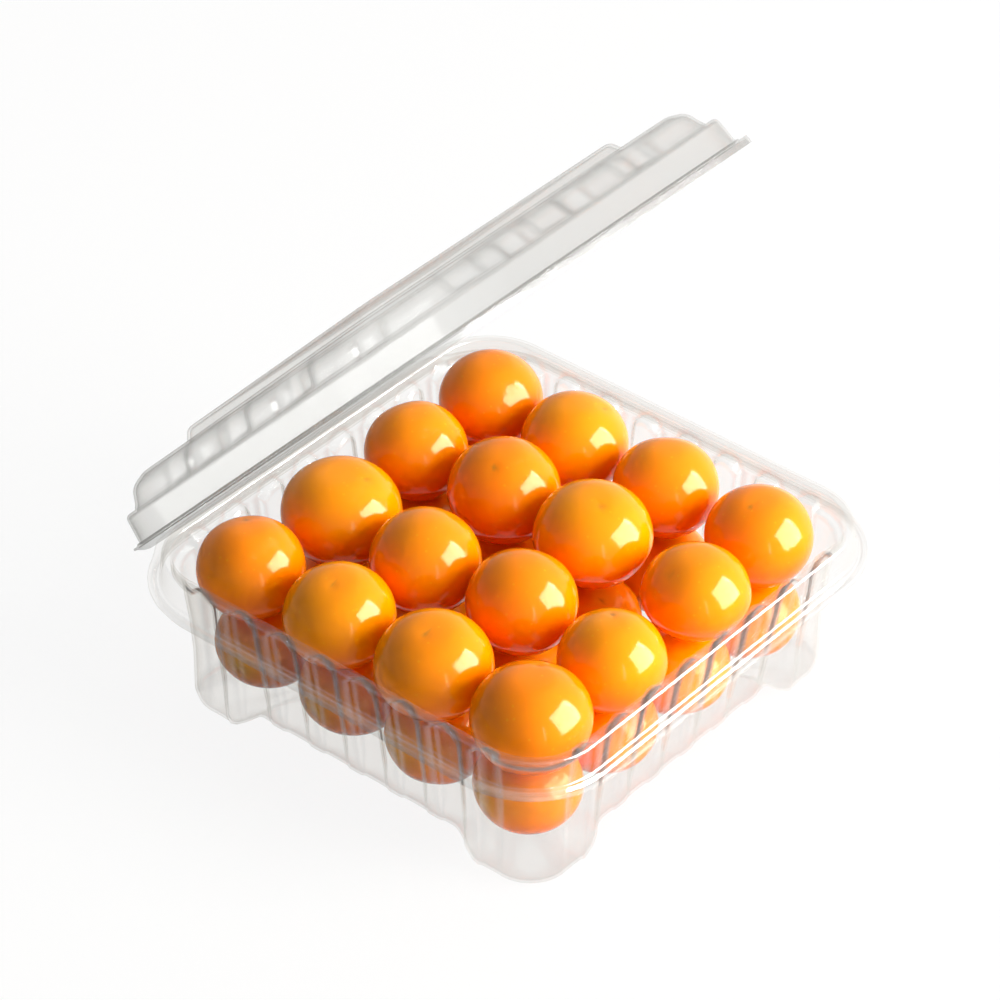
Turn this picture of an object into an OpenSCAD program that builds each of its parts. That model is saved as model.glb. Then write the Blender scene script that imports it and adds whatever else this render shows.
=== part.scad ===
// Clear hinged clamshell pack, standing open, filled with two layers of small round fruit.
// Millimetres. The pack stands on +Z, its origin is at the centre of its four feet, X runs
// along the hinge and the pack opens towards -Y.

/* [Tray] */
// Inside length of the rim, along the hinge
rim_length = 110; // [106:1:116]
// Inside width of the rim, from the hinge to the front
rim_width = 107.5; // [106:0.5:114]
// Height of the rim above the table
rim_height = 39; // [39:0.5:46]
// Inside corner radius of the rim
corner_radius = 12.5; // [10:0.5:14]
// How far the walls lean in from the rim to the floor
wall_taper = 3.2; // [2:0.2:4]
// Thickness of the formed sheet
sheet = 0.5; // [0.4:0.1:0.6]
// How much further the walls lean in between the feet
waist = 1.2; // [0.4:0.2:2]
// Radius between the walls and the floor
floor_round = 2.5; // [2:0.5:4]

/* [Feet] */
// Height of the floor above the table
foot_height = 5; // [4:0.2:6]
// How far each foot reaches along the walls from its corner
foot_reach = 24; // [18:1:28]
// Length of the slope that ends each foot
foot_slope = 8; // [5:1:10]

/* [Flutes] */
// Number of upright flutes on each wall
flute_count = 7; // [3:2:7]
// Distance between the flutes
flute_pitch = 12.8; // [11:0.1:13]
// Width of each flute
flute_width = 3.6; // [2:0.2:5]
// Depth of each flute
flute_depth = 2.4; // [1:0.2:2.6]
// Drop from the rim to the top of the fluted wall
shelf_drop = 3; // [1:0.2:4]

/* [Rim] */
// Width of the flat top of the rim bead
bead_width = 2.7; // [2:0.1:3.5]
// Height of the rim bead above the flange
bead_height = 6.4; // [5:0.2:7]
// How far the outside of the bead leans out
bead_lean = 0.8; // [0.6:0.1:2]
// Width of the flange
flange_width = 3; // [2:0.2:4]
// Height of the lip that turns down from the flange
lip_height = 1; // [0.8:0.1:2]

/* [Lid] */
// Angle that the lid stands open
lid_open = 47.5; // [0:0.5:120]
// Distance from each flange to the line that the lid turns about
hinge_film = 2; // [1:0.2:3]
// Height of the lid's shoulder above the tray's flange
shoulder_height = 12.6; // [12.6:0.2:20]
// Height of the raised panel above the shoulder
panel_rise = 2.4; // [2.3:0.1:4]
// Distance from the rim to the raised panel
panel_inset = 16; // [12:1:24]
// Radius where the lid's walls turn into its shoulder
dome_radius = 4.5; // [2.5:0.5:5]
// Number of upright ribs on each wall of the lid
lid_rib_count = 3; // [1:2:3]
// Distance between the ribs of the lid
lid_rib_pitch = 28; // [20:1:30]
// Width of each rib of the lid
lid_rib_width = 9; // [6:0.5:12]
// Depth of each rib of the lid
lid_rib_depth = 1.6; // [0.8:0.1:2]
// Clearance between the lid and the bead that it closes over
fit_clearance = 0.5; // [0.4:0.1:0.8]
// Gap between the two flanges when the lid is shut
flange_gap = 0.3; // [0.2:0.1:0.5]

/* [Fruit] */
// Radius of the fruit in the lower layer
lower_radius = 11.8; // [10:0.1:11.8]
// Half height of the fruit in the lower layer
lower_half_height = 9; // [8:0.1:9]
// Half height of the fruit in the upper layer
upper_half_height = 10.6; // [10:0.1:10.6]
// Number of fruit along each side of a layer
fruit_per_side = 4; // [4:1:4]
// Clearance between neighbouring fruit and the walls
fruit_clearance = 0.1; // [0.05:0.05:0.3]
// Radius of the small scar at the top of each fruit
scar_radius = 1.6; // [1:0.1:2.5]
// Depth of the scar
scar_depth = 0.4; // [0.2:0.1:0.6]

/* [Hidden] */

// Colours of the clear sheet and of the fruit
sheet_colour = [0.9, 0.94, 0.95, 0.3];
fruit_colour = [0.95, 0.55, 0.08];

// Segments in each rounded corner
corner_steps = 6;
// Smallest radius that a corner may shrink to
least_radius = 3;
// How fast the corner radius shrinks as the wall leans in, and grows outside the rim
inner_share = 0.8;
outer_share = 1.4;
// Width of the slanting flank on each side of a flute
flute_flank = 0.8;
// Extra distance to the outermost flutes
flute_outer_extra = 0.2;
// Height of the tray's flange and the line that the lid turns about
flange_height = rim_height - bead_height;
hinge_height = flange_height + flange_gap / 2;
flange_reach = bead_width + bead_lean + flange_width;
hinge_offset = rim_width / 2 + flange_reach + hinge_film;
// Free gap between each solid and the hinge line, along the straight part of the hinge
hinge_gap = 0.3;
// How far the lid's lip stands outside the tray's lip
lip_clearance = 0.6;
// The lips fade out over this length before the hinge
lip_fade = 10;
// Height of the upper face of the floor
floor_top = foot_height + sheet;

function clamp01(v) = max(0, min(1, v));
function ease(v) = let (c = clamp01(v)) c * c * (3 - 2 * c);

// Places of the middles of the flutes or ribs along one side
function rib_places(count, pitch, extra) =
    [for (k = [0:count - 1])
        let (m = k - (count - 1) / 2)
        m * pitch + (abs(m) == (count - 1) / 2 ? sign(m) * extra : 0)];

// Points along one side as [place, share of the rib's depth]
function flute_points() =
    [for (c = rib_places(flute_count, flute_pitch, flute_outer_extra))
        each [
            [c - flute_width / 2 - flute_flank, 0],
            [c - flute_width / 2, 1],
            [c + flute_width / 2, 1],
            [c + flute_width / 2 + flute_flank, 0]]];
function lid_rib_points() =
    [for (c = rib_places(lid_rib_count, lid_rib_pitch, 0))
        for (f = [-1:0.5:1])
            [c + f * lid_rib_width / 2, cos(90 * f)]];

// One closed ring of points round the pack. The sides lie at offset out from the rim line,
// and the points with a share of 1 lie another depth further out.
function ring(points, offset, depth, z) =
    let (hx = rim_length / 2 + offset,
         hy = rim_width / 2 + offset,
         r = max(least_radius, corner_radius + offset * (offset < 0 ? inner_share : outer_share)),
         last = points[len(points) - 1][0] + 0.5,
         kx = min(1, (hx - r) / last),
         ky = min(1, (hy - r) / last),
         flat = concat(
             [for (p = points) [hx + depth * p[1], ky * p[0]]],
             [for (k = [0:corner_steps]) let (a = 90 * k / corner_steps)
                 [hx - r + r * cos(a), hy - r + r * sin(a)]],
             [for (p = points) [-kx * p[0], hy + depth * p[1]]],
             [for (k = [0:corner_steps]) let (a = 90 + 90 * k / corner_steps)
                 [-hx + r + r * cos(a), hy - r + r * sin(a)]],
             [for (p = points) [-hx - depth * p[1], -ky * p[0]]],
             [for (k = [0:corner_steps]) let (a = 180 + 90 * k / corner_steps)
                 [-hx + r + r * cos(a), -hy + r + r * sin(a)]],
             [for (p = points) [kx * p[0], -hy - depth * p[1]]],
             [for (k = [0:corner_steps]) let (a = 270 + 90 * k / corner_steps)
                 [hx - r + r * cos(a), -hy + r + r * sin(a)]]))
    [for (p = flat) [p[0], p[1], z]];

// A ring that follows one of two rings: the first along the hinge, the second on the free sides.
// Its straight part along the hinge is drawn out towards the hinge line.
function joined(hinge, free) =
    [for (i = [0:len(free) - 1])
        let (q = free_share(free[i]),
             p = hinge[i] * (1 - q) + free[i] * q)
        [p[0], p[1] + (hinge_film - hinge_gap) * film_share(p), p[2]]];

// 1 in the feet and 0 between them
function foot_share(p) =
    clamp01((abs(p[0]) - rim_length / 2 + wall_taper + foot_reach) / foot_slope)
    * clamp01((abs(p[1]) - rim_width / 2 + wall_taper + foot_reach) / foot_slope);
// 1 on the three free sides of the rim and 0 along the hinge
function free_share(p) = ease((rim_width / 2 - corner_radius / 2 - p[1]) / lip_fade);
// 1 at the edge of the flange along the hinge and 0 elsewhere
function film_share(p) = ease((p[1] - rim_width / 2 - flange_reach + 1.8) / 1.5);

// Rounded edges of the profiles below
bead_round = 0.6;
dome_turn = 1 - cos(45);

// Profile of the tray's inner and upper face, from the floor out to the lip. Each point is
// [offset from the rim line, height, share of the flutes, share of the feet].
tray_body = [
    [-wall_taper - foot_reach + 1, floor_top, 0, 0],
    [-wall_taper - foot_reach + foot_slope + 1, floor_top, 0, 1],
    [-wall_taper - floor_round, floor_top, 0, 1],
    [-wall_taper - 0.3 * floor_round, floor_top + 0.3 * floor_round, 0.7, 1],
    [-wall_taper, floor_top + floor_round, 1, 1],
    [-wall_taper * 0.75, floor_top + floor_round + foot_height, 1, 0],
    [0, rim_height - shelf_drop, 1, 0],
    [0, rim_height, 0, 0],
    [bead_width - bead_round, rim_height, 0, 0],
    [bead_width + 0.1, rim_height - bead_round, 0, 0],
    [bead_width + bead_lean, flange_height, 0, 0],
    [flange_reach - 0.3, flange_height, 0, 0]];
tray_free = concat(tray_body, [[flange_reach, flange_height - lip_height, 0, 0]]);
tray_hinge = concat(tray_body, [[flange_reach, flange_height, 0, 0]]);

// Profile of the lid's inner and lower face when it is shut, from the panel out to the lip
shoulder_z = flange_height + shoulder_height;
ledge_z = rim_height + fit_clearance;
dome_x = bead_width - 2.2;
lid_body = [
    [-panel_inset, shoulder_z + panel_rise, 0, 0],
    [-panel_inset + panel_rise / 2, shoulder_z, 0, 0],
    [dome_x - 1 - dome_radius, shoulder_z, 0.4, 0],
    [dome_x - 1 - dome_radius * dome_turn, shoulder_z - dome_radius * dome_turn, 1, 0],
    [dome_x - 1, shoulder_z - dome_radius, 1, 0],
    [dome_x, ledge_z, 0.6, 0],
    [bead_width + fit_clearance, ledge_z, 0, 0],
    [bead_width + bead_lean + fit_clearance, flange_height + flange_gap, 0, 0]];
lid_free = concat(lid_body, [
    [flange_reach + lip_clearance - 0.1, flange_height + flange_gap, 0, 0],
    [flange_reach + lip_clearance, flange_height - lip_height, 0, 0]]);
lid_hinge = concat(lid_body, [
    [flange_reach - 0.3, flange_height + flange_gap, 0, 0],
    [flange_reach, flange_height + flange_gap, 0, 0]]);

// The same profile moved by the sheet's thickness to its right, or to its left when t < 0
function side_normal(a, b) = let (d = [b[0] - a[0], b[1] - a[1]]) [d[1], -d[0]] / norm(d);
function skin(profile, t) =
    let (last = len(profile) - 1)
    [for (k = [0:last])
        let (a = profile[max(0, k - 1)],
             b = profile[k],
             c = profile[min(last, k + 1)],
             m = k == 0 ? side_normal(b, c) : side_normal(a, b),
             n = k == last ? side_normal(a, b) : side_normal(b, c),
             s = (m + n) / (1 + m * n))
        [b[0] + t * s[0], b[1] + t * s[1], b[2], b[3]]];

// A sheet between two stacks of rings that are closed by a flat middle
module formed_sheet(upper, lower) {
    n = len(upper[0]);
    m = len(upper);
    half = n * m;
    points = concat([for (r = upper) each r], [for (r = lower) each r],
        [[0, 0, upper[0][0][2]], [0, 0, lower[0][0][2]]]);
    faces = concat(
        [for (i = [0:n - 1]) [2 * half, i, (i + 1) % n]],
        [for (i = [0:n - 1]) [2 * half + 1, half + (i + 1) % n, half + i]],
        [for (k = [0:m - 2]) for (i = [0:n - 1]) let (j = (i + 1) % n)
            each [[k * n + i, (k + 1) * n + i, (k + 1) * n + j],
                  [k * n + i, (k + 1) * n + j, k * n + j]]],
        [for (k = [0:m - 2]) for (i = [0:n - 1]) let (j = (i + 1) % n)
            each [[half + k * n + i, half + (k + 1) * n + j, half + (k + 1) * n + i],
                  [half + k * n + i, half + k * n + j, half + (k + 1) * n + j]]],
        [for (i = [0:n - 1]) let (j = (i + 1) % n, u = (m - 1) * n, w = half + u)
            each [[u + i, w + i, w + j], [u + i, w + j, u + j]]]);
    polyhedron(points, [for (f = faces) [for (i = [len(f) - 1:-1:0]) f[i]]]);
}

// A ring of the tray. Between the feet it stands in by the waist, and in them it drops.
function tray_ring(points, p) =
    let (low = p[1] < floor_top + floor_round + foot_height + sheet ? 1 : 0,
         feet = ring(points, p[0] - p[2] * flute_depth, p[2] * flute_depth, p[1]),
         between = ring(points, p[0] - low * waist - p[2] * flute_depth,
            p[2] * flute_depth, p[1]))
    [for (i = [0:len(feet) - 1])
        let (f = foot_share(feet[i]))
        feet[i] * f + between[i] * (1 - f) - [0, 0, p[3] * foot_height * f]];
function tray_rings(hinge, free) =
    let (points = flute_points())
    [for (k = [0:len(free) - 1])
        joined(tray_ring(points, hinge[k]), tray_ring(points, free[k]))];

module base_tray() {
    color(sheet_colour)
        formed_sheet(
            tray_rings(tray_hinge, tray_free),
            tray_rings(skin(tray_hinge, sheet), skin(tray_free, sheet)));
}

module hinged_lid() {
    color(sheet_colour)
        translate([0, hinge_offset, hinge_height])
            rotate([-lid_open, 0, 0])
                translate([0, -hinge_offset, -hinge_height])
                    shut_lid();
}

function lid_rings(hinge, free) =
    let (points = lid_rib_points())
    [for (k = [0:len(free) - 1])
        joined(
            ring(points, hinge[k][0], -hinge[k][2] * lid_rib_depth, hinge[k][1]),
            ring(points, free[k][0], -free[k][2] * lid_rib_depth, free[k][1]))];

module shut_lid() {
    formed_sheet(
        lid_rings(skin(lid_hinge, -sheet), skin(lid_free, -sheet)),
        lid_rings(lid_hinge, lid_free));
}

// Half the inside width of the fluted tray at a height, between the feet
function inside_half(rim, z) =
    rim / 2 - flute_depth
    - (wall_taper + waist) * (rim_height - shelf_drop - z)
    / (rim_height - shelf_drop - floor_top - floor_round);

// The lower layer is an even grid. Each entry is [x, y, radius, half height, height of middle].
lower_z = floor_top + lower_half_height + fruit_clearance;
lower_x = inside_half(rim_length, lower_z) - lower_radius - fruit_clearance;
lower_y = inside_half(rim_width, lower_z) - lower_radius - fruit_clearance;
lower_layer = [for (i = [0:fruit_per_side - 1]) for (j = [0:fruit_per_side - 1])
    [lower_x * (2 * i / (fruit_per_side - 1) - 1),
     lower_y * (1 - 2 * j / (fruit_per_side - 1)),
     lower_radius, lower_half_height, lower_z]];

// The upper layer as it lies in the pack, row by row from the left wall, hinge side first.
// Each entry is [x, y, radius, extra half height].
upper_places = [
    [-39.5, 38.5, 11.9, 0], [-39.5, 13.5, 12.2, 0], [-39, -12, 12.8, 0], [-38.8, -37.9, 12.9, 0],
    [-12.5, 36.8, 13.4, 0], [-14.8, 11, 12.2, 1], [-12.5, -13.6, 12.2, 1], [-14, -39, 11.7, 0],
    [14.5, 38.8, 11.7, 0], [14.8, 14, 12.6, 1], [14.2, -12.3, 13.2, 1], [14.4, -38.8, 12, 0],
    [39.8, 38.6, 11.9, 0], [39.6, 14.4, 12.2, 0], [39.6, -11.5, 11.9, 0], [39, -37.5, 12, 0]];

// Height at which a fruit comes to rest on one that already lies in the pack
function rest_on(p, q) =
    let (reach = p[3] + q[3] + fruit_clearance,
         apart = max(0, norm([p[0] - q[0], p[1] - q[1]]) - (p[2] - p[3]) - (q[2] - q[3])))
    apart >= reach ? 0 : q[4] + sqrt(reach * reach - apart * apart);
function settle(p, laid) =
    [p[0], p[1], p[2], p[3], max([for (q = laid) rest_on(p, q)])];
upper_layer = [for (p = upper_places)
    settle([p[0], p[1], p[2], upper_half_height + p[3]], lower_layer)];

module fruit(p) {
    offset = p[2] - p[3];
    dimple = sqrt(p[3] * p[3] - offset * offset);
    color(fruit_colour)
        translate([p[0], p[1], p[4]])
            difference() {
                rotate_extrude($fn = 48)
                    intersection() {
                        translate([offset, 0])
                            circle(r = p[3], $fn = 48);
                        translate([0, -p[3]])
                            square([p[2], 2 * p[3]]);
                    }
                translate([0, 0, dimple + scar_radius - scar_depth])
                    sphere(r = scar_radius, $fn = 24);
            }
}

base_tray();
hinged_lid();
for (k = [0:15]) {
    fruit(lower_layer[k]);
    fruit(upper_layer[k]);
}
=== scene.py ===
import math
import random

import bpy
import numpy as np
from mathutils import Matrix, Vector, noise


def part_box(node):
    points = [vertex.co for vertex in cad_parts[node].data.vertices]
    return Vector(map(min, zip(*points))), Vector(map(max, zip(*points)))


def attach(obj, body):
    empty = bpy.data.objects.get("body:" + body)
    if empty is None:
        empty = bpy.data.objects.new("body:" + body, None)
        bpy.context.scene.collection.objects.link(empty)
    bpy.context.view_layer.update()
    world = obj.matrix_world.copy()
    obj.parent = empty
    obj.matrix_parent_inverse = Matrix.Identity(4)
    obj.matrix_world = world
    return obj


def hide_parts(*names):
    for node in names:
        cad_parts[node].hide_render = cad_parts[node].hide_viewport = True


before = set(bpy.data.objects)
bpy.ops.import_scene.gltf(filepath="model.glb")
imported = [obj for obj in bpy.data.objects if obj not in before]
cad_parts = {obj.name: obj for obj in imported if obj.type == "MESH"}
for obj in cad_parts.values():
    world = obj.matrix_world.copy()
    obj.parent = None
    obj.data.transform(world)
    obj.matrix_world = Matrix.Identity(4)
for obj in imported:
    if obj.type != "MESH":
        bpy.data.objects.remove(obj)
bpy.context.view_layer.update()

MM = 0.001

# Sizes of the pack in millimetres, as in the part's source
RIM_LENGTH = 110
RIM_WIDTH = 107.5
RIM_HEIGHT = 39
CORNER = 12.5
TAPER = 3.2
WAIST = 1.2
SHEET = 0.5
FLOOR_ROUND = 2.5
FOOT_HEIGHT = 5
FOOT_REACH = 24
FOOT_SLOPE = 8
FLUTES = 7
FLUTE_PITCH = 12.8
FLUTE_WIDTH = 3.6
BEAD_WIDTH = 2.7
BEAD_HEIGHT = 6.4
BEAD_LEAN = 0.8
FLANGE_WIDTH = 3
LIP = 1
LID_OPEN = 47.5
HINGE_FILM = 2
HINGE_GAP = 0.3
SHOULDER = 12.6
PANEL_RISE = 2.4
PANEL_INSET = 16
DOME = 4.5
DOME_SETBACK = 2.2
DOME_LEAN = 1
RIB_PITCH = 28
RIB_WIDTH = 9
RIB_DEPTH = 1.6
FIT = 0.5
FLANGE_GAP = 0.3
LIP_CLEARANCE = 0.6
LIP_FADE = 10

# Sizes that only the visual model has, in millimetres
FLUTE_FLANK = 1.2
FLUTE_DEPTH = 2.0
END_FLUTE_SHIFT = 0.2
END_PANEL = 8
FLUTE_END_DROP = 3.1
ARCH_TOP = 1.9
ARCH_DROP = 0.5
BELLY = 0.35
GROOVE_DEPTH = 0.25
GROOVE_HALF = 0.3
TRAY_GROOVE = BEAD_WIDTH + BEAD_LEAN + 1.2
LID_GROOVE = TRAY_GROOVE + GROOVE_HALF
EDGE_BEND = 0.3
FILM_START = 1.8
FILM_FADE = 1.5
FILM_RADIUS = 0.28
SMALLEST_CORNER = 3.0
CORNER_STEPS = 14
FLOOR_DROP = 0.05

# How far along a flute's flank its points lie, and how deep they are
FLANK = ((-1.0, 0.0), (-0.72, 0.12), (-0.5, 0.5), (-0.28, 0.88), (0.0, 1.0))

HX = RIM_LENGTH / 2
HY = RIM_WIDTH / 2
REACH = BEAD_WIDTH + BEAD_LEAN + FLANGE_WIDTH
FLANGE_Z = RIM_HEIGHT - BEAD_HEIGHT
HINGE_Y = HY + REACH + HINGE_FILM
HINGE_Z = FLANGE_Z + FLANGE_GAP / 2
FLOOR_TOP = FOOT_HEIGHT + SHEET


def clamp01(v):
    return np.clip(v, 0, 1)


def ease(v):
    c = clamp01(v)
    return c * c * (3 - 2 * c)


# Points along one side: their places, how deep in a flute each lies, and how far
# from the middle of its panel
def flute_layout():
    middles = [(k - (FLUTES - 1) / 2) * FLUTE_PITCH for k in range(FLUTES)]
    middles[0] -= END_FLUTE_SHIFT
    middles[-1] += END_FLUTE_SHIFT
    half = FLUTE_WIDTH / 2
    place, deep, arch = [], [], []

    def panel(a, b, steps):
        mid, wide = (a + b) / 2, abs(b - a) / 2
        for k in range(1, steps):
            s = a + (b - a) * k / steps
            place.append(s)
            deep.append(0.0)
            arch.append(abs(s - mid) / wide)

    edge = middles[0] - half - FLUTE_FLANK
    panel(edge - END_PANEL, edge, 3)
    for n, c in enumerate(middles):
        for f, g in FLANK:
            place.append(c - half + f * FLUTE_FLANK)
            deep.append(g)
            arch.append(1.0)
        place.append(c)
        deep.append(1.06)
        arch.append(1.0)
        for f, g in reversed(FLANK):
            place.append(c + half - f * FLUTE_FLANK)
            deep.append(g)
            arch.append(1.0)
        if n < FLUTES - 1:
            panel(c + half + FLUTE_FLANK, middles[n + 1] - half - FLUTE_FLANK, 8)
    edge = middles[-1] + half + FLUTE_FLANK
    panel(edge, edge + END_PANEL, 3)
    return np.array(place), np.array(deep), np.array(arch)


# The same for the lid's ribs, without panels
def rib_layout():
    ends = [36.0, 40.0, 44.0]
    place, deep = [-v for v in reversed(ends)], [0.0] * 3
    for c in (-RIB_PITCH, 0, RIB_PITCH):
        for k in range(13):
            f = -1 + k / 6
            place.append(c + f * RIB_WIDTH / 2)
            deep.append(math.cos(math.pi / 2 * f) ** 0.7 if abs(f) < 1 else 0.0)
        if c < RIB_PITCH:
            for k in range(1, 6):
                place.append(c + RIB_WIDTH / 2 + (RIB_PITCH - RIB_WIDTH) * k / 6)
                deep.append(0.0)
    place += ends
    deep += [0.0] * 3
    return np.array(place), np.array(deep), np.ones(len(place))


# One closed ring round the pack at an offset from the rim line. Returns its points in the
# plane with the outward direction, and for each point its depth in a flute and its arch.
def plan(layout, offset):
    place, deep, arch = layout
    hx, hy = HX + offset, HY + offset
    r = max(SMALLEST_CORNER, CORNER + offset * (0.8 if offset < 0 else 1.4))
    last = place[-1] + 0.5
    kx = min(1.0, (hx - r) / last)
    ky = min(1.0, (hy - r) / last)
    pts, out, dep, arc = [], [], [], []

    def side(px, py, nx, ny):
        for k in range(len(place)):
            pts.append((px(place[k]), py(place[k])))
            out.append((nx, ny))
            dep.append(deep[k])
            arc.append(arch[k])

    def corner(cx, cy, start):
        for k in range(CORNER_STEPS + 1):
            a = start + math.pi / 2 * k / CORNER_STEPS
            pts.append((cx + r * math.cos(a), cy + r * math.sin(a)))
            out.append((math.cos(a), math.sin(a)))
            dep.append(0.0)
            arc.append(1.0)

    side(lambda s: hx, lambda s: ky * s, 1, 0)
    corner(hx - r, hy - r, 0)
    side(lambda s: -kx * s, lambda s: hy, 0, 1)
    corner(-hx + r, hy - r, math.pi / 2)
    side(lambda s: -hx, lambda s: -ky * s, -1, 0)
    corner(-hx + r, -hy + r, math.pi)
    side(lambda s: kx * s, lambda s: -hy, 0, -1)
    corner(hx - r, -hy + r, 1.5 * math.pi)
    return np.array(pts), np.array(out), np.array(dep), np.array(arc)


# How far each point of a ring belongs to a foot, to the three sides with a turned-down lip,
# and to the film on the hinge side
def foot_share(p):
    ax = clamp01((np.abs(p[:, 0]) - HX + TAPER + FOOT_REACH) / FOOT_SLOPE)
    ay = clamp01((np.abs(p[:, 1]) - HY + TAPER + FOOT_REACH) / FOOT_SLOPE)
    return ease(ax) * ease(ay)


def free_share(p):
    return ease((HY - CORNER / 2 - p[:, 1]) / LIP_FADE)


def film_share(p):
    return ease((p[:, 1] - HY - REACH + FILM_START) / FILM_FADE)


# A profile is refined with round bends: each bend of the coarse line gets a small arc
def rounded(line, radii, steps=4):
    result = [np.array(line[0], float)]
    for k in range(1, len(line) - 1):
        a, b, c = (np.array(line[k + d], float) for d in (-1, 0, 1))
        r = radii.get(k, 0)
        if r <= 0:
            result.append(b)
            continue
        u, v = a - b, c - b
        lu, lv = np.linalg.norm(u[:2]), np.linalg.norm(v[:2])
        d = min(r, 0.45 * lu, 0.45 * lv)
        p, q = b + u * d / lu, b + v * d / lv
        for i in range(steps + 1):
            t = i / steps
            result.append((1 - t) ** 2 * p + 2 * t * (1 - t) * b + t * t * q)
    result.append(np.array(line[-1], float))
    return result


# The profile's other face, moved square to the line by the thickness t
def skin(line, t):
    moved = []
    last = len(line) - 1
    for k in range(last + 1):
        a, b, c = line[max(0, k - 1)], line[k], line[min(last, k + 1)]

        def normal(p, q):
            d = (q - p)[:2]
            d = d / max(np.linalg.norm(d), 1e-9)
            return np.array([d[1], -d[0]])

        m = normal(b, c) if k == 0 else normal(a, b)
        n = normal(a, b) if k == last else normal(b, c)
        s = (m + n) / (1 + float(m @ n))
        w = b.copy()
        w[:2] = b[:2] + t * s
        moved.append(w)
    return moved


# Tray. Columns of the profile: offset, height, share of the flutes, share of the feet,
# share of the panels' arched tops, share of the waist.
def tray_lines():
    z0 = FLOOR_TOP
    end = RIM_HEIGHT - FLUTE_END_DROP
    body = [
        (-TAPER - FOOT_REACH - 8, z0, 0, 0, 0, 1),
        (-TAPER - FOOT_REACH + 1, z0, 0, 0, 0, 1),
        (-TAPER - FOOT_REACH + FOOT_SLOPE * 0.25 + 1, z0, 0, 1, 0, 1),
        (-TAPER - FOOT_REACH + FOOT_SLOPE * 0.5 + 1, z0, 0, 1, 0, 1),
        (-TAPER - FOOT_REACH + FOOT_SLOPE * 0.75 + 1, z0, 0, 1, 0, 1),
        (-TAPER - FOOT_REACH + FOOT_SLOPE + 1, z0, 0, 1, 0, 1),
        (-TAPER - FLOOR_ROUND - 4, z0, 0, 1, 0, 1),
        (-TAPER - FLOOR_ROUND, z0, 0.05, 1, 0, 1),
        (-TAPER - 0.3 * FLOOR_ROUND, z0 + 0.3 * FLOOR_ROUND, 0.2, 1, 0, 1),
        (-TAPER, z0 + FLOOR_ROUND, 0.35, 1, 0, 1),
        (-TAPER * 0.92, z0 + FLOOR_ROUND + FOOT_HEIGHT * 0.3, 0.5, 0.85, 0, 1),
        (-TAPER * 0.84, z0 + FLOOR_ROUND + FOOT_HEIGHT * 0.65, 0.65, 0.4, 0, 1),
        (-TAPER * 0.75, z0 + FLOOR_ROUND + FOOT_HEIGHT, 0.8, 0, 0, 1),
        (-TAPER * 0.45, end - 13.9, 1, 0, 0, 0.6),
        (-TAPER * 0.2, end - 6.9, 1, 0, 0.2, 0.3),
        (-0.35, end - 2.5, 1, 0, 1, 0.08),
        (-0.2, end - 1.6, 1, 0, 1, 0.05),
        (-0.12, end - 1.1, 0.9, 0, 1, 0),
        (-0.1, end - 0.7, 0.5, 0, 1, 0),
        (-0.06, end - 0.4, 0.12, 0, 1, 0),
        (-0.04, end, 0, 0, 0.8, 0),
        (0, RIM_HEIGHT, 0, 0, 0, 0),
        (BEAD_WIDTH, RIM_HEIGHT, 0, 0, 0, 0),
        (BEAD_WIDTH + BEAD_LEAN, FLANGE_Z, 0, 0, 0, 0),
        (TRAY_GROOVE - GROOVE_HALF, FLANGE_Z, 0, 0, 0, 0),
        (TRAY_GROOVE, FLANGE_Z - GROOVE_DEPTH, 0, 0, 0, 0),
        (TRAY_GROOVE + GROOVE_HALF, FLANGE_Z, 0, 0, 0, 0),
        (REACH - EDGE_BEND, FLANGE_Z, 0, 0, 0, 0),
    ]
    free = body + [(REACH, FLANGE_Z - LIP, 0, 0, 0, 0)]
    hinge = body + [(REACH, FLANGE_Z, 0, 0, 0, 0)]
    # Radii of the bends at the rim, the bead's top and the bead's foot, by their row
    bends = {21: 0.8, 22: 0.9, 23: 0.7}
    return rounded(hinge, bends), rounded(free, bends)


# The hinge side's flange is drawn out to the fold
def lift_film(p):
    p = p.copy()
    p[:, 1] += (HINGE_FILM - HINGE_GAP) * film_share(p)
    return p


def tray_ring(layout, row):
    offset, z, flute, foot, arch, waist = row
    feet, out, dep, arc = plan(layout, offset)
    between = plan(layout, offset - waist * WAIST)[0]
    f = foot_share(feet)[:, None]
    flat = feet * f + between * (1 - f)
    # Panels stand in by the flutes' depth and belly a little further in at their middle
    belly = BELLY * np.cos(np.pi / 2 * np.clip(arc, 0, 1)) * (1 - clamp01(dep))
    flat = flat - out * (flute * (FLUTE_DEPTH * (1 - dep) + belly))[:, None]
    rise = arch * (ARCH_TOP * (1 - np.clip(arc, 0, 1) ** 2.2) - ARCH_DROP)
    height = z + rise - foot * FOOT_HEIGHT * f[:, 0]
    return np.column_stack([flat, height])


def mixed(hinge, free):
    q = free_share(free)[:, None]
    return lift_film(hinge * (1 - q) + free * q)


def tray_rings(lines, layout):
    hinge, free = lines
    return [mixed(tray_ring(layout, a), tray_ring(layout, b)) for a, b in zip(hinge, free)]


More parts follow.
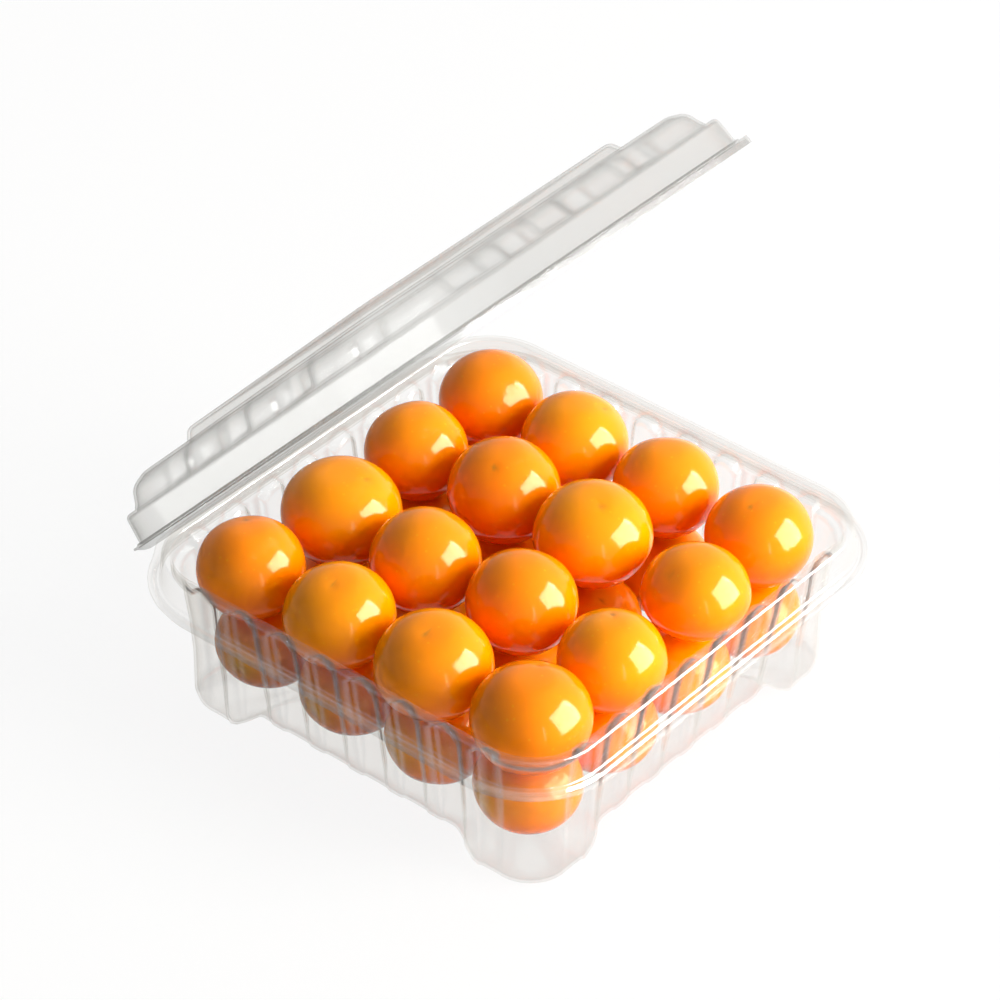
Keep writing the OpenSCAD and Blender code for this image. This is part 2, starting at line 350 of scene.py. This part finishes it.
# Lid, shut. Columns of the profile: offset, height, share of the ribs.
def lid_lines():
    zs = FLANGE_Z + SHOULDER
    zl = RIM_HEIGHT + FIT
    foot = BEAD_WIDTH - DOME_SETBACK
    dome = foot - DOME_LEAN
    turn = 1 - math.cos(math.radians(45))
    body = [
        (-PANEL_INSET - 12, zs + PANEL_RISE, 0),
        (-PANEL_INSET, zs + PANEL_RISE, 0),
        (-PANEL_INSET + PANEL_RISE / 2, zs, 0),
        (dome - DOME - 1.5, zs, 0),
        (dome - DOME, zs, 0.35),
        (dome - DOME * turn, zs - DOME * turn, 0.9),
        (dome, zs - DOME, 1),
        (dome + DOME_LEAN / 2, (zs - DOME + zl) / 2, 1),
        (foot, zl, 0.4),
        (BEAD_WIDTH + FIT, zl, 0),
        (BEAD_WIDTH + BEAD_LEAN + FIT, FLANGE_Z + FLANGE_GAP, 0),
        (LID_GROOVE - GROOVE_HALF, FLANGE_Z + FLANGE_GAP, 0),
        (LID_GROOVE, FLANGE_Z + FLANGE_GAP + GROOVE_DEPTH, 0),
        (LID_GROOVE + GROOVE_HALF, FLANGE_Z + FLANGE_GAP, 0),
    ]
    free = body + [
        (REACH + LIP_CLEARANCE - 0.1, FLANGE_Z + FLANGE_GAP, 0),
        (REACH + LIP_CLEARANCE, FLANGE_Z - LIP, 0)]
    hinge = body + [
        (REACH - EDGE_BEND, FLANGE_Z + FLANGE_GAP, 0),
        (REACH, FLANGE_Z + FLANGE_GAP, 0)]
    # Radii of the bends by their row, from the panel out to the flange
    bends = {1: 0.6, 2: 0.6, 4: 1.2, 5: 1.4, 6: 1.4, 8: 0.5, 9: 0.8, 10: 0.6}
    return rounded(hinge, bends), rounded(free, bends)


def lid_ring(layout, row):
    offset, z, rib = row
    flat, out, dep, _ = plan(layout, offset)
    flat = flat - out * (rib * RIB_DEPTH * dep)[:, None]
    return np.column_stack([flat, np.full(len(flat), z)])


def lid_rings(lines, layout):
    hinge, free = lines
    return [mixed(lid_ring(layout, a), lid_ring(layout, b)) for a, b in zip(hinge, free)]


def lid_turned(points):
    a = math.radians(LID_OPEN)
    c, s = math.cos(a), math.sin(a)
    y = points[:, 1] - HINGE_Y
    z = points[:, 2] - HINGE_Z
    return np.column_stack([points[:, 0], HINGE_Y + y * c + z * s, HINGE_Z - y * s + z * c])


def add_mesh(name, points, faces, material, smooth=40):
    mesh = bpy.data.meshes.new(name)
    mesh.from_pydata([tuple(float(v) * MM for v in p) for p in points], [], faces)
    mesh.validate()
    mesh.update()
    mesh.polygons.foreach_set("use_smooth", [True] * len(mesh.polygons))
    if smooth:
        mesh.set_sharp_from_angle(angle=math.radians(smooth))
    obj = bpy.data.objects.new(name, mesh)
    bpy.context.scene.collection.objects.link(obj)
    obj.data.materials.append(material)
    return obj


# How sharply the surface bends at each point, from 0 to 1
def mark_folds(obj, full):
    mesh = obj.data
    count = len(mesh.polygons)
    normals = np.empty(count * 3)
    mesh.polygons.foreach_get("normal", normals)
    normals = normals.reshape(-1, 3)
    seen = {}
    fold = np.zeros(len(mesh.vertices))
    for poly in mesh.polygons:
        for key in poly.edge_keys:
            other = seen.get(key)
            if other is None:
                seen[key] = poly.index
                continue
            bend = math.acos(max(-1.0, min(1.0, float(normals[poly.index] @ normals[other]))))
            value = min(1.0, bend / math.radians(full))
            for v in key:
                fold[v] = max(fold[v], value)
    mark = mesh.attributes.new("fold", "FLOAT", "POINT")
    mark.data.foreach_set("value", fold)


# A closed sheet between two stacks of rings, each closed by a fan about its middle
def add_sheet(name, upper, lower, material, turn=None):
    n, m = len(upper[0]), len(upper)
    half = n * m
    points = np.concatenate(upper + lower + [
        np.array([[0, 0, upper[0][0][2]], [0, 0, lower[0][0][2]]])])
    faces = []
    for i in range(n):
        j = (i + 1) % n
        faces.append((2 * half, i, j))
        faces.append((2 * half + 1, half + j, half + i))
        for k in range(m - 1):
            a, b = k * n, (k + 1) * n
            faces.append((a + i, b + i, b + j, a + j))
            faces.append((half + a + i, half + a + j, half + b + j, half + b + i))
        e = (m - 1) * n
        faces.append((e + i, half + e + i, half + e + j, e + j))
    if turn:
        points = turn(points)
    obj = add_mesh(name, points, faces, material)
    mark_folds(obj, 35)
    return obj


# Materials

def new_material(name):
    m = bpy.data.materials.new(name)
    m.use_nodes = True
    m.node_tree.nodes.clear()
    return m, m.node_tree.nodes, m.node_tree.links


# A thin clear sheet. It lets light through in the tint, or in the edge colour at a slant, and
# mirrors between shine and slant. Sharp folds are darker by fold_shade, a painted shade along
# the folds, mirror more by glint and are whiter by frost.
def clear_sheet(name, tint, edge, rough, haze, shine, slant, fold_shade, glint, frost):
    m, nodes, links = new_material(name)
    out = nodes.new("ShaderNodeOutputMaterial")
    coord = nodes.new("ShaderNodeTexCoord")
    wave = nodes.new("ShaderNodeTexNoise")
    wave.inputs["Scale"].default_value = 55
    wave.inputs["Detail"].default_value = 2
    links.new(coord.outputs["Object"], wave.inputs["Vector"])
    bump = nodes.new("ShaderNodeBump")
    bump.inputs["Strength"].default_value = 0.3
    bump.inputs["Distance"].default_value = 0.0006
    links.new(wave.outputs["Fac"], bump.inputs["Height"])
    facing = nodes.new("ShaderNodeLayerWeight")
    facing.inputs["Blend"].default_value = 0.5
    links.new(bump.outputs["Normal"], facing.inputs["Normal"])

    def curve(power, low, high):
        rise = nodes.new("ShaderNodeMath")
        rise.operation = "POWER"
        rise.inputs[1].default_value = power
        links.new(facing.outputs["Facing"], rise.inputs[0])
        span = nodes.new("ShaderNodeMapRange")
        span.inputs["To Min"].default_value = low
        span.inputs["To Max"].default_value = high
        links.new(rise.outputs[0], span.inputs["Value"])
        return span.outputs["Result"]

    def added(value, share, base):
        total = nodes.new("ShaderNodeMath")
        total.operation = "MULTIPLY_ADD"
        total.inputs[1].default_value = share
        links.new(value, total.inputs[0])
        links.new(base, total.inputs[2])
        return total.outputs[0]

    shade = nodes.new("ShaderNodeMixRGB")
    shade.inputs["Color1"].default_value = (*tint, 1)
    shade.inputs["Color2"].default_value = (*edge, 1)
    links.new(curve(3.0, 0.0, 1.0), shade.inputs["Fac"])
    fold = nodes.new("ShaderNodeAttribute")
    fold.attribute_name = "fold"
    share = nodes.new("ShaderNodeMapRange")
    share.inputs["From Min"].default_value = 0.25
    share.inputs["To Max"].default_value = fold_shade
    links.new(fold.outputs["Fac"], share.inputs["Value"])
    sharp = nodes.new("ShaderNodeMapRange")
    sharp.inputs["From Min"].default_value = 0.4
    links.new(fold.outputs["Fac"], sharp.inputs["Value"])
    # Painted shade: the light let through is mixed towards dark grey along sharp folds
    fold_shaded = nodes.new("ShaderNodeMixRGB")
    fold_shaded.inputs["Color2"].default_value = (0.35, 0.35, 0.34, 1)
    links.new(share.outputs["Result"], fold_shaded.inputs["Fac"])
    links.new(shade.outputs["Color"], fold_shaded.inputs["Color1"])
    clear = nodes.new("ShaderNodeBsdfTransparent")
    links.new(fold_shaded.outputs["Color"], clear.inputs["Color"])
    milk = nodes.new("ShaderNodeBsdfDiffuse")
    milk.inputs["Color"].default_value = (0.9, 0.9, 0.9, 1)
    links.new(bump.outputs["Normal"], milk.inputs["Normal"])
    hazed = nodes.new("ShaderNodeMixShader")
    cloudy = added(sharp.outputs["Result"], frost, curve(2.0, haze, haze * 4))
    links.new(cloudy, hazed.inputs["Fac"])
    links.new(clear.outputs[0], hazed.inputs[1])
    links.new(milk.outputs[0], hazed.inputs[2])
    gloss = nodes.new("ShaderNodeBsdfGlossy")
    gloss.inputs["Roughness"].default_value = rough
    gloss.inputs["Color"].default_value = (1, 1, 1, 1)
    links.new(bump.outputs["Normal"], gloss.inputs["Normal"])
    final = nodes.new("ShaderNodeMixShader")
    spark = added(sharp.outputs["Result"], glint, curve(4.5, shine, slant))
    links.new(spark, final.inputs["Fac"])
    links.new(hazed.outputs[0], final.inputs[1])
    links.new(gloss.outputs[0], final.inputs[2])
    links.new(final.outputs[0], out.inputs["Surface"])
    return m


# Fruit skin: clouded between two tones, with pale dots, a green share about the stalk's
# end, a dark scar and a redder lower half, painted shade from the fruit around it
def fruit_skin(name, colour, deep):
    m, nodes, links = new_material(name)
    out = nodes.new("ShaderNodeOutputMaterial")
    skin_shader = nodes.new("ShaderNodeBsdfPrincipled")
    links.new(skin_shader.outputs[0], out.inputs["Surface"])
    coord = nodes.new("ShaderNodeTexCoord")
    cloud = nodes.new("ShaderNodeTexNoise")
    cloud.inputs["Scale"].default_value = 60
    cloud.inputs["Detail"].default_value = 4
    links.new(coord.outputs["Object"], cloud.inputs["Vector"])
    tone = nodes.new("ShaderNodeValToRGB")
    tone.color_ramp.elements[0].position = 0.3
    tone.color_ramp.elements[0].color = (*deep, 1)
    tone.color_ramp.elements[1].position = 0.7
    tone.color_ramp.elements[1].color = (*colour, 1)
    links.new(cloud.outputs["Fac"], tone.inputs["Fac"])
    speck = nodes.new("ShaderNodeTexVoronoi")
    speck.inputs["Scale"].default_value = 420
    links.new(coord.outputs["Object"], speck.inputs["Vector"])
    dots = nodes.new("ShaderNodeMapRange")
    dots.inputs["From Min"].default_value = 0.06
    dots.inputs["From Max"].default_value = 0.16
    dots.inputs["To Min"].default_value = 0.35
    dots.inputs["To Max"].default_value = 0
    links.new(speck.outputs["Distance"], dots.inputs["Value"])

    def painted(under, share, colour):
        layer = nodes.new("ShaderNodeMixRGB")
        layer.inputs["Color2"].default_value = (*colour, 1)
        links.new(share, layer.inputs["Fac"])
        links.new(under, layer.inputs["Color1"])
        return layer.outputs["Color"]

    def marked(attribute):
        node = nodes.new("ShaderNodeAttribute")
        node.attribute_name = attribute
        return node.outputs["Fac"]

    base = painted(tone.outputs["Color"], dots.outputs["Result"], (0.98, 0.45, 0.01))
    base = painted(base, marked("stalk"), (0.75, 0.5, 0.03))
    base = painted(base, marked("scar"), (0.42, 0.15, 0.01))
    # Painted shade: the lower half is made redder, as shade and light thrown back by neighbouring
    # fruit would make it
    base = painted(base, marked("underside_shade"), (0.92, 0.11, 0.0))
    links.new(base, skin_shader.inputs["Base Color"])
    skin_shader.inputs["Roughness"].default_value = 0.13
    skin_shader.inputs["IOR"].default_value = 1.5
    skin_shader.inputs["Specular IOR Level"].default_value = 0.25
    skin_shader.inputs["Specular Tint"].default_value = (1, 0.85, 0.55, 1)
    skin_shader.inputs["Coat Weight"].default_value = 0.05
    skin_shader.inputs["Coat Roughness"].default_value = 0.05
    bump = nodes.new("ShaderNodeBump")
    bump.inputs["Strength"].default_value = 0.12
    bump.inputs["Distance"].default_value = 0.0004
    links.new(cloud.outputs["Fac"], bump.inputs["Height"])
    links.new(bump.outputs["Normal"], skin_shader.inputs["Normal"])
    return m


SHEET_TRAY = clear_sheet("clear_tray_sheet", tint=(0.975, 0.972, 0.966), edge=(0.93, 0.92, 0.9),
                         rough=0.07, haze=0.003, shine=0.012, slant=0.25, fold_shade=0.03,
                         glint=0.08, frost=0.03)
SHEET_LID = clear_sheet("clear_lid_sheet", tint=(0.95, 0.95, 0.945), edge=(0.74, 0.74, 0.73),
                        rough=0.2, haze=0.01, shine=0.004, slant=0.34, fold_shade=0.15,
                        glint=0.02, frost=0.02)
SKINS = [
    fruit_skin("fruit_skin_a", (1.0, 0.3, 0.0), (0.98, 0.26, 0.0)),
    fruit_skin("fruit_skin_b", (1.0, 0.33, 0.0), (0.98, 0.29, 0.0)),
    fruit_skin("fruit_skin_c", (1.0, 0.27, 0.0), (0.98, 0.23, 0.0)),
]

# Tray and lid
layout = flute_layout()
lines = tray_lines()
lower_lines = (skin(lines[0], SHEET), skin(lines[1], SHEET))
tray = add_sheet("clear_tray", tray_rings(lines, layout), tray_rings(lower_lines, layout),
                 SHEET_TRAY)
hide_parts("base_tray")
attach(tray, "tray")

layout = rib_layout()
lines = lid_lines()
upper_lines = (skin(lines[0], -SHEET), skin(lines[1], -SHEET))
lid = add_sheet("clear_lid", lid_rings(upper_lines, layout), lid_rings(lines, layout), SHEET_LID,
                lid_turned)
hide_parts("hinged_lid")
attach(lid, "lid")


# The thin fold that joins tray and lid, on the line that the lid turns about
def add_film(name, radius, half, material):
    rows, sides = 24, 12
    points = []
    for i in range(rows + 1):
        x = -half + 2 * half * i / rows
        r = radius * (0.35 if i in (0, rows) else 1)
        for j in range(sides):
            a = 2 * math.pi * j / sides
            points.append((x, HINGE_Y + r * math.cos(a), HINGE_Z + r * math.sin(a)))
    points += [(-half, HINGE_Y, HINGE_Z), (half, HINGE_Y, HINGE_Z)]
    faces = []
    for j in range(sides):
        k = (j + 1) % sides
        for i in range(rows):
            faces.append((i * sides + j, i * sides + k, (i + 1) * sides + k, (i + 1) * sides + j))
        faces.append((len(points) - 2, k, j))
        faces.append((len(points) - 1, rows * sides + j, rows * sides + k))
    obj = add_mesh(name, points, faces, material)
    mark_folds(obj, 90)
    return obj


film = add_film("hinge_film", FILM_RADIUS, HX - CORNER, SHEET_TRAY)
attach(film, "tray")


# Fruit, in millimetres: how far its skin stays inside the solid's, its dent at the scar, the
# wider hollow about it, and its uneven lumps
FRUIT_CLEARANCE = 0.03
DENT = 0.25
HOLLOW = 0.35
LUMP = 0.3
FRUIT_ROWS, FRUIT_COLUMNS = 30, 48


# A round spot that fades out with the angle from its middle
def spot(angle, width):
    return math.exp(-((angle / width) ** 2))


# Each fruit is a round form a little flatter than a ball that follows its solid's box. Its
# scar looks along tilt and turn, taper narrows the lower half, and shift moves it in mm.
def add_fruit(name, node, tilt, turn, seed, material, taper=0.0, shift=(0, 0, 0), stalk=0.0):
    low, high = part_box(node)
    low = np.array(low) / MM
    high = np.array(high) / MM
    mid = (low + high) / 2 + np.array(shift, float)
    a = (high[0] - low[0]) / 2
    c = (high[2] - low[2]) / 2
    e = a - c
    axis = Vector((math.sin(tilt) * math.cos(turn), math.sin(tilt) * math.sin(turn),
                   math.cos(tilt)))
    rows, cols = FRUIT_ROWS, FRUIT_COLUMNS
    points, scars, stalks, underside_shade = [], [], [], []
    for i in range(rows + 1):
        t = math.pi * i / rows
        for j in range(1 if i in (0, rows) else cols):
            p = 2 * math.pi * j / cols
            level = {0: 0.0, rows: 0.0, 1: 0.8, rows - 1: 0.8}.get(i, 1.0)
            rho = e * level + c * math.sin(t) if level else 0.0
            v = Vector((rho * math.cos(p), rho * math.sin(p), c * math.cos(t)))
            d = v.normalized() if v.length > 0 else Vector((0, 0, 1))
            near = math.acos(max(-1, min(1, d.dot(axis))))
            dent = DENT * spot(near, 0.09) + HOLLOW * spot(near, 0.45)
            lump = LUMP * (0.5 + 0.5 * noise.noise(d * 1.3 + Vector((seed, 0, 0))))
            v = v - d * (FRUIT_CLEARANCE + dent + lump)
            waist = 1 - taper * max(0.0, -d.z) ** 1.2
            v = Vector((v.x * waist, v.y * waist, v.z * (1 + 0.4 * taper * min(0.0, d.z))))
            points.append((mid[0] + v.x, mid[1] + v.y, mid[2] + v.z))
            side = d.cross(axis)
            around = math.atan2(side.dot(Vector((1, 0.3, 0))), side.z + 1e-6)
            star = 0.5 + 0.5 * math.cos(5 * around)
            # Painted shade: how strongly the lower half is reddened
            underside_shade.append(0.85 * float(ease((0.35 - d.z) / 1.1)))
            stalks.append(stalk * spot(near, 0.42))
            scars.append(0.8 * spot(near, 0.035 + 0.03 * star))
    faces = []
    last = len(points) - 1
    for j in range(cols):
        k = (j + 1) % cols
        faces.append((0, 1 + j, 1 + k))
        for i in range(rows - 2):
            a, b = 1 + i * cols, 1 + (i + 1) * cols
            faces.append((a + j, b + j, b + k, a + k))
        faces.append((last - cols + j, last, last - cols + k))
    obj = add_mesh(name, points, faces, material, smooth=0)
    for mark_name, values in (("scar", scars), ("stalk", stalks), ("underside_shade", underside_shade)):
        mark = obj.data.attributes.new(mark_name, "FLOAT", "POINT")
        mark.data.foreach_set("value", values)
    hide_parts(node)
    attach(obj, "tray")
    return obj


dice = random.Random(7)
# Upper fruit that is narrower below, and that lies a little off its solid's place in mm
TAPERS = {7: 0.1, 11: 0.2, 12: 0.26, 10: 0.06}
SHIFTS = {11: (0, 1.2, 0.6), 15: (0, 0.4, 0.1), 16: (0, 0.6, 0)}
for k in range(1, 17):
    add_fruit(f"upper_berry_{k:02d}", f"upper_fruit_{k:02d}", dice.uniform(0.2, 1.0),
              dice.uniform(0, 6.28), k * 3.1, SKINS[k * 5 % 3], TAPERS.get(k, 0.0),
              SHIFTS.get(k, (0, 0, 0)))
    row, column = (k - 1) // 4, (k - 1) % 4
    turn = math.pi + dice.uniform(-0.4, 0.4) if row == 0 else dice.uniform(3.8, 5.4)
    seen_end = row == 0 or column == 3
    tilt = 1.7 if seen_end else dice.uniform(0.2, 1.2)
    add_fruit(f"lower_berry_{k:02d}", f"lower_fruit_{k:02d}", tilt, turn, k * 1.7,
              SKINS[(k * 5 + 1) % 3], stalk=0.9 if seen_end else 0.3)

# Floor. Straight from the camera it is white and keeps a faint shadow; what mirrors it sees a
# painted glow, brighter on the key light's side as a painted pool of its light.
SIDE = (0.635, -0.772)


def flat(name, size, z, material):
    return add_mesh(name, [(-size, -size, z), (size, -size, z), (size, size, z), (-size, size, z)],
                    [(0, 1, 2, 3)], material, smooth=0)


m, nodes, links = new_material("pale_floor")
out = nodes.new("ShaderNodeOutputMaterial")
shine = nodes.new("ShaderNodeEmission")
shine.inputs["Color"].default_value = (1, 1, 1, 1)
shine.inputs["Strength"].default_value = 1.0
plain = nodes.new("ShaderNodeBsdfDiffuse")
plain.inputs["Color"].default_value = (0.9, 0.9, 0.9, 1)
where = nodes.new("ShaderNodeTexCoord")
side = nodes.new("ShaderNodeVectorMath")
side.operation = "DOT_PRODUCT"
side.inputs[1].default_value = (*SIDE, 0)
links.new(where.outputs["Object"], side.inputs[0])
tone = nodes.new("ShaderNodeMapRange")
tone.interpolation_type = "SMOOTHSTEP"
tone.inputs["From Min"].default_value = -0.12
tone.inputs["From Max"].default_value = 0.12
tone.inputs["To Min"].default_value = 0.4
tone.inputs["To Max"].default_value = 1.5
links.new(side.outputs["Value"], tone.inputs["Value"])
# Painted light: the floor glows in mirrors, more on the key light's side
painted_key_glow = nodes.new("ShaderNodeEmission")
links.new(tone.outputs["Result"], painted_key_glow.inputs["Strength"])
path = nodes.new("ShaderNodeLightPath")
seen = nodes.new("ShaderNodeMath")
seen.operation = "MAXIMUM"
links.new(path.outputs["Is Camera Ray"], seen.inputs[0])
links.new(path.outputs["Is Transmission Ray"], seen.inputs[1])
mix = nodes.new("ShaderNodeMixShader")
keep = nodes.new("ShaderNodeMath")
keep.operation = "MULTIPLY"
keep.inputs[1].default_value = 0.9
links.new(seen.outputs[0], keep.inputs[0])
links.new(keep.outputs[0], mix.inputs["Fac"])
pale = nodes.new("ShaderNodeMixShader")
links.new(path.outputs["Is Glossy Ray"], pale.inputs["Fac"])
links.new(plain.outputs[0], pale.inputs[1])
links.new(painted_key_glow.outputs[0], pale.inputs[2])
links.new(pale.outputs[0], mix.inputs[1])
links.new(shine.outputs[0], mix.inputs[2])
links.new(mix.outputs[0], out.inputs["Surface"])
floor = flat("floor", 3000, -FLOOR_DROP, m)

# World: a weak fill for the object, white for the camera, and for mirrors brighter on the
# key light's side
world = bpy.data.worlds.new("studio")
bpy.context.scene.world = world
world.use_nodes = True
wn, wl = world.node_tree.nodes, world.node_tree.links
wn.clear()
wout = wn.new("ShaderNodeOutputWorld")


def sky(strength):
    node = wn.new("ShaderNodeBackground")
    node.inputs["Color"].default_value = (1, 1, 1, 1)
    node.inputs["Strength"].default_value = strength
    return node


lit, mirrored, white = sky(0.17), sky(1.0), sky(1.0)
where = wn.new("ShaderNodeTexCoord")
side = wn.new("ShaderNodeVectorMath")
side.operation = "DOT_PRODUCT"
side.inputs[1].default_value = (*SIDE, 0.1)
wl.new(where.outputs["Generated"], side.inputs[0])
level = wn.new("ShaderNodeMapRange")
level.interpolation_type = "SMOOTHSTEP"
level.inputs["From Min"].default_value = -0.5
level.inputs["From Max"].default_value = 0.9
level.inputs["To Min"].default_value = 0.75
level.inputs["To Max"].default_value = 1.5
wl.new(side.outputs["Value"], level.inputs["Value"])
wl.new(level.outputs["Result"], mirrored.inputs["Strength"])
wpath = wn.new("ShaderNodeLightPath")
glossed = wn.new("ShaderNodeMixShader")
wl.new(wpath.outputs["Is Glossy Ray"], glossed.inputs["Fac"])
wl.new(lit.outputs[0], glossed.inputs[1])
wl.new(mirrored.outputs[0], glossed.inputs[2])
wmix = wn.new("ShaderNodeMixShader")
wl.new(wpath.outputs["Is Camera Ray"], wmix.inputs["Fac"])
wl.new(glossed.outputs[0], wmix.inputs[1])
wl.new(white.outputs[0], wmix.inputs[2])
wl.new(wmix.outputs[0], wout.inputs["Surface"])


# An area light that looks at the pack from a direction. A mirrored one shows in gloss.
def softbox(name, direction, distance, width, height, power, colour=(1, 1, 1), mirrored=True):
    data = bpy.data.lights.new(name, "AREA")
    data.shape = "RECTANGLE"
    data.size = width
    data.size_y = height
    data.energy = power
    data.color = colour
    obj = bpy.data.objects.new(name, data)
    bpy.context.scene.collection.objects.link(obj)
    d = Vector(direction).normalized()
    obj.location = Vector((0, 0, 0.04)) + d * distance
    obj.rotation_euler = d.to_track_quat("Z", "Y").to_euler()
    obj.visible_glossy = mirrored
    return obj


softbox("key_light", (0.395, -0.835, 0.385), 0.95, 0.6, 0.7, 20.5, (1, 0.97, 0.9),
        mirrored=False)
softbox("top_light", (0.4, -0.2, 0.9), 0.9, 0.8, 0.8, 1.8, mirrored=False)
softbox("back_light", (0.8, 0.6, 0.4), 1.0, 0.7, 0.5, 2.0, mirrored=False)
# Panes that only glossy surfaces show: a window, a narrow one beside it and a far streak
for n, (direction, far, width, height, power) in enumerate((
        ((0.38, -0.835, 0.4), 0.95, 0.84, 0.84, 56.0),
        ((0.653, -0.578, 0.625), 1.07, 0.1, 0.3, 1.6),
        ((-0.437, -0.859, 0.264), 0.95, 0.05, 0.5, 0.7))):
    pane = softbox(f"window_{n}", direction, far, width, height, power)
    pane.visible_diffuse = False

# Camera at the photograph's place. It looks along the heading and down by the pitch from a
# distance, and its aim is moved sideways and up a little.
HEADING, PITCH, ROLL = (math.radians(v) for v in (39.44, 37.45, 0.67))
DISTANCE, SIDEWAYS, UPWARDS = 957.57, -1.81, 38.45
LENS = 158.4
forward = Vector((math.cos(HEADING) * math.cos(PITCH), math.sin(HEADING) * math.cos(PITCH),
                  -math.sin(PITCH)))
level_right = forward.cross(Vector((0, 0, 1))).normalized()
level_up = level_right.cross(forward)
right = level_right * math.cos(ROLL) + level_up * math.sin(ROLL)
up = level_up * math.cos(ROLL) - level_right * math.sin(ROLL)
place = (SIDEWAYS * right + UPWARDS * up - DISTANCE * forward) * MM
cam_data = bpy.data.cameras.new("camera")
cam_data.sensor_fit = "HORIZONTAL"
cam_data.sensor_width = 36
cam_data.lens = LENS
cam_data.clip_end = 20
camera = bpy.data.objects.new("camera", cam_data)
bpy.context.scene.collection.objects.link(camera)
aim = Matrix((right, up, -forward)).transposed()
camera.matrix_world = Matrix.Translation(place) @ aim.to_4x4()
bpy.context.scene.camera = camera
bpy.context.scene.view_settings.view_transform = "Standard"
